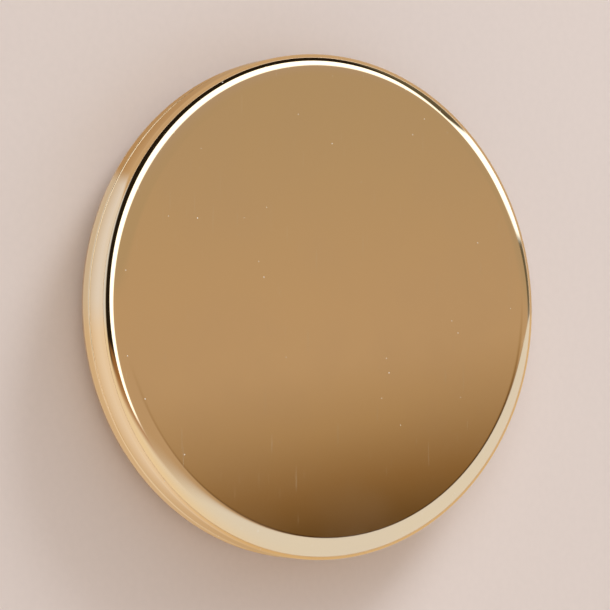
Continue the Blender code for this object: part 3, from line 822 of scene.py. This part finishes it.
def make_lid_leaf(gold):
    low, high = low_high("lid_hinge_leaf")
    plate_low = LINER_LOW.z + LINER_SHEET + 0.15
    plate_high = plate_low + LEAF_T
    back = LID_ARM_Y + LEAF_T
    flat = plate(low.y, back, plate_low, plate_high)
    leaf = extruded("lid_hinge_leaf_rolled", flat, low.x, high.x, gold)
    arm = [
        (LID_ARM_Y, SEAM_Z + 0.3),
        (ARM_REACH_Y, SEAM_Z + 0.3),
        (ARM_REACH_Y, SEAM_Z + 1.0),
        (back - 0.05, SEAM_Z + 1.0),
        (back - 0.05, plate_high - 0.1),
        (LID_ARM_Y, plate_high - 0.1),
    ]
    half = LID_KNUCKLE_HALF
    parts = [extruded("arm", arm, 0.05 - half, half - 0.05, gold), knuckle(-half, half, gold)]
    finish_leaf(leaf, parts, LID_LEAF_SCREWS, plate_low, plate_high)
    place_piece(leaf, "lid_hinge_leaf", "lid")


def make_hinge_pin(steel):
    """A plain pin with domed, lightly riveted ends."""
    half = low_high("hinge_pin")[1].x
    outline = [(0.0, -half)]
    outline += arc((PIN_R - 0.16, 0.16 - half), (0.16, 0.16), -90, 0, 5)
    outline += arc((PIN_R - 0.16, half - 0.16), (0.16, 0.16), 0, 90, 5)
    outline.append((0.0, half))
    pin = turned("hinge_pin_turned", outline, steel, SMALL_STEPS, matrix=ALONG_HINGE)
    place_piece(pin, "hinge_pin", "base")


def make_catch_hook(gold):
    low, high = low_high("catch_hook")
    sheet_low = high.z - 0.6
    back = HOOK_Y - 0.3
    nose_top = low.z + 0.5
    flat = plate(low.y, low.y + 1.5, sheet_low, high.z)
    hook = extruded("catch_hook_bent", flat, low.x, high.x, gold)
    leg = [
        (back, high.z - 0.05),
        (back, nose_top - 0.25),
        (back + 0.25, low.z),
        (NOSE_Y - 0.35, low.z),
        (NOSE_Y, nose_top - 0.1),
        (NOSE_Y, nose_top),
        (back + 0.5, nose_top),
        (back + 0.5, high.z - 0.05),
    ]
    combine(hook, "UNION", extruded("leg", leg, -HOOK_HALF, HOOK_HALF, gold))
    combine(hook, "DIFFERENCE", *screw_holes(HOOK_SCREWS, sheet_low - OVER, high.z + OVER))
    soften(hook, 0.07, angle=30, segments=3)
    place_piece(hook, "catch_hook", "lid")


def make_catch_spring(steel):
    low, high = low_high("catch_spring")
    strip = 0.4
    tongue_y = -32.9
    outline = [
        (high.y, low.z + strip),
        (high.y, low.z),
        (tongue_y - 0.3, low.z),
        (tongue_y - 0.3, high.z - 0.65),
        (low.y, high.z - 0.45),
        (low.y, high.z - 0.3),
        (tongue_y - 0.3, high.z),
        (tongue_y + 0.1, high.z),
        (tongue_y + 0.1, low.z + strip),
    ]
    spring = extruded("catch_spring_bent", outline, -HOOK_HALF, HOOK_HALF, steel)
    combine(spring, "DIFFERENCE", *screw_holes(SPRING_SCREWS, low.z - OVER, low.z + strip + OVER))
    soften(spring, 0.07, angle=30, segments=3)
    place_piece(spring, "catch_spring", "base")


def make_screw(node, body, head_up, steel):
    """A cheese-head screw with a slot in its head and turned threads."""
    low, high = low_high(node)
    way = -1.0 if head_up else 1.0
    head_z, tip_z = (high.z, low.z) if head_up else (low.z, high.z)
    x, y = centre_of(node)
    head_r, pitch = high.x - x, 0.16
    outline = [(0.0, head_z), (head_r * 0.5, head_z + way * 0.01)]
    outline += [(r, head_z + way * (0.1 - z)) for r, z in arc((head_r - 0.1, 0.0), (0.1, 0.08), 90, 0, 4)]
    outline += [(head_r, head_z + way * SCREW_HEAD_H), (SCREW_SHANK_R, head_z + way * SCREW_HEAD_H)]
    turns = int((abs(tip_z - head_z) - SCREW_HEAD_H - 0.3) / pitch)
    for i in range(turns):
        z = head_z + way * (SCREW_HEAD_H + 0.08 + i * pitch)
        outline += [(SCREW_SHANK_R - 0.07, z), (SCREW_SHANK_R, z + way * pitch / 2)]
    outline += [(SCREW_SHANK_R - 0.07, tip_z - way * 0.18), (0.0, tip_z)]
    screw = turned(f"{node}_slotted", outline, steel, 28, matrix=moved_to(x, y))
    slot_z = sorted((head_z - way * OVER, head_z + way * 0.2))
    slot = box_cutter((x - head_r - OVER, y - 0.1, slot_z[0]), (x + head_r + OVER, y + 0.1, slot_z[1]))
    slot.data.transform(moved_to(x, y) @ Matrix.Rotation(0.5 + x, 4, "Z") @ moved_to(-x, -y))
    combine(screw, "DIFFERENCE", slot)
    place_piece(screw, node, body)


def make_bumper(node, silicone):
    low, high = low_high(node)
    radius = (high.x - low.x) / 2
    outline = [(0.0, high.z)]
    outline += arc((radius - 0.6, high.z - 0.42), (0.6, 0.42), 90, 0, 10)
    outline += [(radius, low.z + 0.08), (radius - 0.08, low.z), (0.0, low.z)]
    dome = turned(f"{node}_dome", outline, silicone, SMALL_STEPS, matrix=moved_to(*centre_of(node)))
    place_piece(dome, node, "base")


# ---------------------------------------------------------------- powder, film and puff


def make_pan(tin):
    """A drawn tin pan with a curled rim."""
    low, high = low_high("powder_pan")
    radius, floor = high.x, low.z + 0.3
    outline = [(0.0, floor), (radius - 0.8, floor)]
    outline += arc((radius - 0.65, floor + 0.3), (0.3, 0.3), -90, 0, 6)
    outline += arc((radius - 0.2, high.z - 0.15), (0.15, 0.15), 180, 0, 10)
    outline += arc((radius - 0.35, low.z + 0.35), (0.35, 0.35), 0, -90, 6)
    outline.append((0.0, low.z))
    place_piece(turned("powder_pan_drawn", outline, tin), "powder_pan", "base")


def powder_height(r, a, edge):
    """How far the pressed pattern lies below the cake's highest level, at radius r and angle a."""
    dish = 0.3 * smooth(6.0, 5.0, r) if r < 12 else 0.3 * smooth(edge - 2.0, edge - 3.0, r)
    if r < 6.0:
        dish = 0.3 * smooth(5.0, 6.0, r)
    inside = smooth(6.2, 7.0, r) * smooth(edge - 3.2, edge - 4.2, r)
    u = math.sin(a * 18 + r * 0.42)
    v = math.sin(a * 18 - r * 0.42)
    lattice = 0.10 * max(0.0, 1.0 - 4.0 * abs(u)) + 0.10 * max(0.0, 1.0 - 4.0 * abs(v))
    flutes = 0.07 * abs(math.sin(a * 36)) * smooth(edge - 1.9, edge - 1.5, r)
    flutes *= smooth(edge - 0.4, edge - 0.8, r)
    return dish + lattice * inside + flutes


def smooth(low, high, value):
    t = min(1.0, max(0.0, (value - low) / (high - low)))
    return t * t * (3 - 2 * t)


def make_powder(powder):
    """The pressed cake, with a fluted rim and a lattice in its dish."""
    low, high = low_high("pressed_powder")
    radius = high.x
    rings = [(radius - 0.4) * i / 84 for i in range(85)]
    outline = [(r, high.z) for r in rings]
    outline += [(radius - 0.1, high.z - 0.15), (radius, high.z - 0.4), (radius, low.z + 0.4)]
    outline += [(radius - 0.1, low.z + 0.1), (radius - 0.4, low.z), (0.0, low.z)]
    cake = turned("pressed_powder_cake", outline, powder, 216)
    for vert in cake.data.vertices:
        x, y, z = vert.co / MM
        if z > high.z - 0.01:
            grit = 0.012 * noise.noise(Vector((x, y, 0)) * 1.6)
            vert.co.z -= (powder_height(math.hypot(x, y), math.atan2(y, x), radius) + abs(grit)) * MM
    place_piece(cake, "pressed_powder", "base")


def make_film(film):
    sheet = disc("divider_film_sheet", "divider_film", 0.04, film, 3)
    low, high = low_high("divider_film")
    centre = (0.0, -(high.x - 2.2))
    combine(sheet, "DIFFERENCE", round_cutter(centre, 5.0, low.z - OVER, high.z + OVER, 64))
    place_piece(sheet, "divider_film", "base")


def pad_blank(radius, half_thick):
    """Two round sheets sewn together at their rim, ten times life size."""
    rings, steps = 22, 96
    bm = bmesh.new()
    sheets = []
    rim = []
    for side in (1, -1):
        sheet = [[bm.verts.new((0, 0, side * half_thick * MM * SIM_SCALE))]]
        for k in range(1, rings + 1):
            r = radius * math.sin(math.pi / 2 * k / rings) ** 0.9
            if k == rings and side < 0:
                sheet.append(rim)
                continue
            lift = half_thick * (1 - (r / radius) ** 6) ** 0.5 if k < rings else 0.0
            row = []
            for i in range(steps):
                a = math.tau * (i + 0.5 * (k % 2)) / steps
                point = Vector((r * math.cos(a), r * math.sin(a), side * lift))
                row.append(bm.verts.new(point * MM * SIM_SCALE))
            if k == rings:
                rim = row
            sheet.append(row)
        sheets.append(sheet)
    for sheet in sheets:
        for upper, lower in zip(sheet, sheet[1:]):
            for i in range(steps):
                j = (i + 1) % steps
                corners = [upper[i % len(upper)], lower[i], lower[j], upper[j % len(upper)]]
                bm.faces.new(list(dict.fromkeys(corners)))
    return finish_mesh("puff_pad", bm, math.radians(80))


def inflate(obj, frames=20):
    """Blows the sewn pad up as cloth, and keeps the result in its mesh."""
    cloth = obj.modifiers.new("cloth", "CLOTH")
    settings = cloth.settings
    settings.quality = 6
    settings.mass = 0.3
    settings.tension_stiffness = 12
    settings.compression_stiffness = 12
    settings.shear_stiffness = 4
    settings.bending_stiffness = 0.4
    settings.use_pressure = True
    settings.uniform_pressure_force = 4.0
    settings.effector_weights.gravity = 0.0
    cloth.point_cache.frame_start = 1
    cloth.point_cache.frame_end = frames
    for number in range(1, frames + 1):
        bpy.context.scene.frame_set(number)
    apply_modifiers(obj)
    bpy.context.scene.frame_set(1)


def make_puff(velour):
    """A flat round puff: simulated as a sewn pad, then laid in its place with a flat underside."""
    low, high = low_high("puff")
    radius, middle = high.x, (low.z + high.z) / 2
    room = (high.z - low.z) / 2 - 0.02
    puff = add_object("powder_puff", pad_blank(radius - 0.5, 0.85), velour)
    sewn = [v.co.copy() for v in puff.data.vertices]
    inflate(puff)
    for vert, start in zip(puff.data.vertices, sewn):
        moved = vert.co - start
        vert.co = start + moved * min(1.0, PUFF_GIVE * MM * SIM_SCALE / max(moved.length, 1e-6))
    puff.data.transform(Matrix.Scale(1 / SIM_SCALE, 4))
    tallest = max(abs(v.co.z) for v in puff.data.vertices) / MM
    widest = max(math.hypot(v.co.x, v.co.y) for v in puff.data.vertices) / MM
    for vert in puff.data.vertices:
        x, y, z = vert.co / MM
        z *= room / tallest
        if z < 0:
            z = -room * (1 - (1 - min(1.0, -z / room)) ** 2.2)
        x, y = x * (radius - 0.12) / widest, y * (radius - 0.12) / widest
        vert.co = Vector((x, y, z + middle)) * MM
    modifier = puff.modifiers.new("subdivision", "SUBSURF")
    modifier.levels = modifier.render_levels = 2
    apply_modifiers(puff)
    nap(puff, low, high)
    puff.data.shade_smooth()
    return place_piece(puff, "puff", "base")


def nap(obj, low, high):
    """Brushes the pile into low tufts along each normal, and keeps the pad in its space."""
    normals = [v.normal.copy() for v in obj.data.vertices]
    for vert, normal in zip(obj.data.vertices, normals):
        point = vert.co / MM
        tuft = 0.030 * noise.noise(point * 1.9) + 0.035 * noise.noise(point * 0.45 + Vector((9, 4, 1)))
        moved = point + normal * tuft
        moved.z = min(high.z, max(low.z, moved.z))
        vert.co = moved * MM


def tube(bm, points, radius, sides=6):
    """A closed round tube through the points."""
    rings = []
    for i, point in enumerate(points):
        ahead = points[min(i + 1, len(points) - 1)] - points[max(i - 1, 0)]
        turn = ahead.to_track_quat("Z", "X")
        end = i in (0, len(points) - 1)
        rings.append([])
        for k in range(sides):
            a = math.tau * k / sides
            spoke = turn @ Vector((math.cos(a), math.sin(a), 0)) * radius * (0.6 if end else 1.0)
            rings[-1].append(bm.verts.new((point + spoke) * MM))
    for first, second in zip(rings, rings[1:]):
        for k in range(sides):
            j = (k + 1) % sides
            bm.faces.new((first[k], second[k], second[j], first[j]))
    bm.faces.new(rings[0])
    bm.faces.new(rings[-1])


def make_puff_stitches(thread, count=84):
    """Slanted overcast stitches round the puff's seam."""
    low, high = low_high("puff")
    radius, middle = high.x, (low.z + high.z) / 2
    bm = bmesh.new()
    for i in range(count):
        points = []
        for k in range(7):
            t = math.radians(-62 + 124 * k / 6)
            a = math.tau * (i + 0.42 * k / 6) / count
            r = radius - 0.98 + 0.86 * math.cos(t)
            points.append(Vector((r * math.cos(a), r * math.sin(a), middle + 0.86 * math.sin(t))))
        tube(bm, points, 0.10)
    mesh = finish_mesh("puff_edge_stitches", bm, math.radians(80))
    stitches = add_object("puff_edge_stitches", mesh, thread)
    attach(stitches, "base")


def make_ribbon(satin):
    """The satin band over the puff's back, drawn down to the puff at both ends."""
    low, high = low_high("puff_ribbon")
    half, thick = high.y, 0.13
    across, along = 14, 96
    bm = bmesh.new()
    rows = []
    for j in range(along + 1):
        y = -half + 2 * half * j / along
        share = abs(y) / half
        z = high.z - thick - (high.z - thick - low.z) * share**2
        z += 0.012 * math.sin(y * 0.55) * (1 - share)
        row = []
        for i in range(across + 1):
            x = RIBBON_HALF * (2 * i / across - 1)
            cup = 0.03 * (abs(x) / RIBBON_HALF) ** 2
            row.append(bm.verts.new(Vector((x, y, z - cup * (1 - share) + 0.02)) * MM))
        rows.append(row)
    for first, second in zip(rows, rows[1:]):
        for i in range(across):
            bm.faces.new((first[i], first[i + 1], second[i + 1], second[i]))
    ribbon = add_object("satin_ribbon", finish_mesh("satin_ribbon", bm), satin)
    modifier = ribbon.modifiers.new("thickness", "SOLIDIFY")
    modifier.thickness = thick * MM
    modifier.offset = 1.0
    apply_modifiers(ribbon)
    ribbon.data.shade_smooth()
    ribbon.data.set_sharp_from_angle(angle=math.radians(60))
    place_piece(ribbon, "puff_ribbon", "base")


def make_ribbon_tacks(thread):
    """Rows of small stitches that hold the ribbon's ends."""
    low, high = low_high("puff_ribbon")
    bm = bmesh.new()
    for side in (-1, 1):
        for row in (0.7, 1.25):
            y = side * (high.y - row)
            top = low.z + 0.17
            for i in range(9):
                x = RIBBON_HALF * (i - 4) / 4.6
                points = []
                for k in range(7):
                    points.append(Vector((x - 0.3 + 0.1 * k, y, top + 0.02 * math.sin(math.pi * k / 6))))
                tube(bm, points, 0.06)
    mesh = finish_mesh("ribbon_end_stitches", bm, math.radians(80))
    tacks = add_object("ribbon_end_stitches", mesh, thread)
    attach(tacks, "base")


# ---------------------------------------------------------------- stage and light


def add_floor():
    bm = bmesh.new()
    bmesh.ops.create_grid(bm, x_segments=1, y_segments=1, size=FLOOR_HALF)
    floor = add_object("floor", finish_mesh("floor", bm), floor_look())
    floor.location.z = -FLOOR_DROP


def add_painted_reflection_ring():
    """A bright glowing sheet round the compact that only reflections see: a painted reflection of a lit
    table top, in tones that change round the compact.
    """
    ring = turned("painted_reflection_ring", [(OUTER_R + 0.6, 0.02), (PAINTED_REFLECTION_REACH, 0.02)], None, 96)
    made = bpy.data.materials.new("painted_reflection_ring_look")
    made.use_nodes = True
    made.node_tree.nodes.clear()
    n = Nodes(made.node_tree)
    x, y, _ = n.xyz(n.place())
    side = n.math("ARCTAN2", x, n.times(y, -1.0))
    # Painted reflection: the glow's tone changes round the compact
    tone = n.mix(n.step(side, -0.60, -0.52), (0.62, 0.47, 0.33), (0.82, 0.84, 0.98))
    tone = n.mix(n.step(side, -0.05, 0.15), tone, (0.88, 0.80, 0.76))
    tone = n.mix(n.step(side, 0.7, 1.5), tone, (0.72, 0.55, 0.36))
    # Painted shade: close to the compact the glow is tinted darker, as a table lying in the compact's
    # shadow
    clear = n.step(n.length(x, y), OUTER_R + 2.2, OUTER_R + 4.6)
    tone = n.tinted(tone, n.mix(clear, (0.80, 0.70, 0.55), (1.0, 1.0, 1.0)))
    glow = n.add("ShaderNodeEmission")
    n.feed(glow.inputs["Color"], tone)
    n.feed(n.add("ShaderNodeOutputMaterial").inputs["Surface"], glow.outputs[0])
    ring.data.materials.append(made)
    ring.visible_camera = ring.visible_diffuse = False
    ring.visible_shadow = ring.visible_transmission = False


def add_key_light():
    """A large soft lamp over the picture's upper right, which throws the shadow to the lower left."""
    data = bpy.data.lights.new("key", "AREA")
    data.shape = "DISK"
    data.size = KEY_SIZE
    data.energy = KEY_POWER
    data.color = (0.80, 0.93, 1.12)
    lamp = bpy.data.objects.new("key", data)
    lamp.location = KEY_PLACE
    lamp.rotation_euler = (-Vector(KEY_PLACE)).to_track_quat("-Z", "Y").to_euler()
    lamp.visible_camera = False
    lamp.visible_glossy = False
    bpy.context.scene.collection.objects.link(lamp)


class Sky:
    """The studio round the object on a plan of the sky: the zenith in the middle, the horizon at 1."""

    def __init__(self, nodes):
        self.n = nodes
        x, y, z = nodes.xyz(nodes.add("ShaderNodeTexCoord").outputs["Generated"])
        depth = nodes.math("MAXIMUM", nodes.plus(z, 1.0), 0.05)
        self.x = nodes.math("DIVIDE", x, depth)
        self.y = nodes.math("DIVIDE", y, depth)

    def distance(self, cx, cy, stretch=1.0):
        dx = self.n.math("SUBTRACT", self.x, cx)
        dy = self.n.times(self.n.math("SUBTRACT", self.y, cy), stretch)
        return self.n.length(dx, dy)

    def disc(self, cx, cy, radius, soft, stretch=1.0):
        """1 inside the circle and 0 outside it."""
        return self.n.step(self.distance(cx, cy, stretch), radius + soft, radius - soft)

    def left_of(self, px, py, heading):
        """How far a point lies to the left of the line through (px, py), whose heading is in degrees."""
        a = math.radians(heading)
        dx = self.n.times(self.n.math("SUBTRACT", self.x, px), -math.sin(a))
        dy = self.n.times(self.n.math("SUBTRACT", self.y, py), math.cos(a))
        return self.n.plus(dx, dy)

    def both(self, *masks):
        made = masks[0]
        for mask in masks[1:]:
            made = self.n.times(made, mask)
        return made


def add_world():
    world = bpy.data.worlds.new("studio")
    bpy.context.scene.world = world
    world.use_nodes = True
    n = Nodes(world.node_tree)
    s = Sky(n)
    pale = n.mix(n.step(s.left_of(0.3, -0.1, 20), -0.45, 0.35), (0.89, 0.81, 0.70), (0.80, 0.84, 0.96))
    grey = n.mix(n.step(s.distance(-0.15, 0.0), 0.80, 1.2), (0.13, 0.12, 0.09), (0.60, 0.55, 0.52))
    sky = n.mix(n.step(s.left_of(-0.02, 0.6, 84), -0.06, 0.06), pale, grey)
    front = s.both(
        n.step(s.left_of(0.0, -0.70, -4), 0.04, -0.06),
        n.step(s.left_of(0.10, -0.8, 84), -0.05, 0.08),
    )
    sky = n.mix(front, sky, (0.75, 0.82, 1.02))
    room = s.both(
        s.disc(-0.12, -0.05, 0.93, 0.05),
        n.step(s.y, -0.74, -0.64),
        n.step(s.x, 0.30, 0.18),
        n.step(s.y, 0.62, 0.5),
    )
    sky = n.mix(room, sky, (0.018, 0.013, 0.008))
    flag = s.both(
        n.step(s.x, 0.10, 0.16),
        n.step(s.x, 0.40, 0.26),
        n.step(s.y, -0.75, -0.45),
        n.step(s.y, 0.1, -0.1),
    )
    sky = n.mix(n.times(flag, 0.8), sky, (0.42, 0.22, 0.09))
    window = s.both(
        n.step(s.left_of(-0.27, 0.5, 116), 0.01, -0.02),
        n.step(s.left_of(-0.09, 0.5, 101), -0.01, 0.02),
        n.step(s.y, 0.47, 0.53),
    )
    sky = n.mix(window, sky, (1.7, 1.9, 2.3))
    softbox = s.both(s.disc(-0.13, 0.12, 0.515, 0.02), n.step(s.x, 0.26, 0.20), n.step(s.y, 0.57, 0.50))
    sky = n.mix(softbox, sky, (2.0, 2.15, 2.45))
    warm = n.mix(n.step(s.x, -0.40, -0.07), (0.47, 0.38, 0.32), (0.475, 0.380, 0.275))
    warm = n.mix(n.step(s.x, -0.065, -0.012), warm, (0.535, 0.405, 0.290))
    falling = n.math("DIVIDE", s.left_of(-0.0085, 0.284, -80), 0.036, clamp=True)
    falling = n.times(falling, n.step(s.y, 0.46, 0.33))
    shade = n.ramp(falling, (
        (0.0, (1.0, 1.0, 1.0)),
        (0.32, (0.815, 0.77, 0.66)),
        (0.62, (0.50, 0.40, 0.25)),
        (0.82, (0.27, 0.21, 0.11)),
        (1.0, (0.10, 0.06, 0.025)),
    ))
    under = n.math("ARCTAN2", n.times(s.left_of(0.03, 0.29, -18), -1.0), s.left_of(0.03, 0.29, -108))
    glow = n.ramp(n.math("DIVIDE", under, math.pi / 2, clamp=True), (
        (0.0, (0.06, 0.04, 0.015)),
        (0.14, (0.30, 0.22, 0.11)),
        (0.32, (0.86, 0.78, 0.62)),
        (0.50, (1.0, 1.0, 1.0)),
    ))
    away = n.times(n.step(s.distance(0.0, 0.284), 0.028, 0.07), n.step(s.x, 0.005, 0.04))
    warm = n.tinted(warm, n.mix(away, shade, glow))
    board = n.math("MAXIMUM", s.disc(0.0, 0.18, 0.405, 0.03), s.disc(-0.01, 0.55, 0.13, 0.03, 0.65))
    sky = n.mix(board, sky, warm)
    reach = n.math("MAXIMUM", s.distance(0.042, 0.285), 0.01)
    off_line = n.math("DIVIDE", s.left_of(0.042, 0.285, -52), reach)
    table = s.both(n.step(off_line, -0.30, 0.22), n.step(s.left_of(0.036, 0.285, 95), 0.006, -0.006))
    sky = n.mix(table, sky, pale)
    background = world.node_tree.nodes["Background"]
    n.feed(background.inputs["Color"], sky)
    background.inputs["Strength"].default_value = 1.0


# ---------------------------------------------------------------- assembly

def repaint(node, surface):
    """Gives a CAD node whose shape is right its procedural material."""
    mesh = frame["nodes"][node].data
    mesh.materials.clear()
    mesh.materials.append(surface)


bpy.context.scene.view_settings.view_transform = "Standard"
add_camera()
add_world()
add_floor()
add_painted_reflection_ring()
add_key_light()

GOLD = gold_look()
SATIN = satin_look("satin_gold_look", (0.66, 0.47, 0.26), (0.76, 0.57, 0.34), 0.26)
STEEL = steel_look("steel_look", (0.46, 0.45, 0.43), (0.64, 0.63, 0.61), 0.26)
TIN = steel_look("tinplate_look", (0.56, 0.55, 0.53), (0.72, 0.71, 0.69), 0.30, (1.0, 0.02, 1.0))
THREAD = thread_look()

make_shells(GOLD)
make_lid_liner(SATIN)
make_base_tray(SATIN)
make_mirror(mirror_look())
make_base_leaf(GOLD)
make_lid_leaf(GOLD)
make_hinge_pin(STEEL)
make_catch_hook(GOLD)
make_catch_spring(STEEL)
for screw_node in LID_LEAF_SCREWS + HOOK_SCREWS:
    make_screw(screw_node, "lid", True, STEEL)
for screw_node in BASE_LEAF_SCREWS + SPRING_SCREWS:
    make_screw(screw_node, "base", False, STEEL)
SILICONE = silicone_look()
for bumper_node in BUMPERS:
    make_bumper(bumper_node, SILICONE)
make_pan(TIN)
make_powder(powder_look())
make_film(film_look())
PUFF = make_puff(velour_look())
make_puff_stitches(THREAD)
make_ribbon(satin_ribbon_look())
make_ribbon_tacks(THREAD)
FOAM = soft_sheet_look("foam_tape_look", (0.70, 0.69, 0.65), (0.82, 0.81, 0.78), 0.82, 0.3, 0.06)
RUBBER = soft_sheet_look(
    "magnetic_rubber_look", (0.045, 0.040, 0.038), (0.075, 0.068, 0.063), 0.72, 0.22, 0.02
)
for tape_node in ("mirror_tape", "tray_tape"):
    repaint(tape_node, FOAM)
repaint("magnet_sheet", RUBBER)
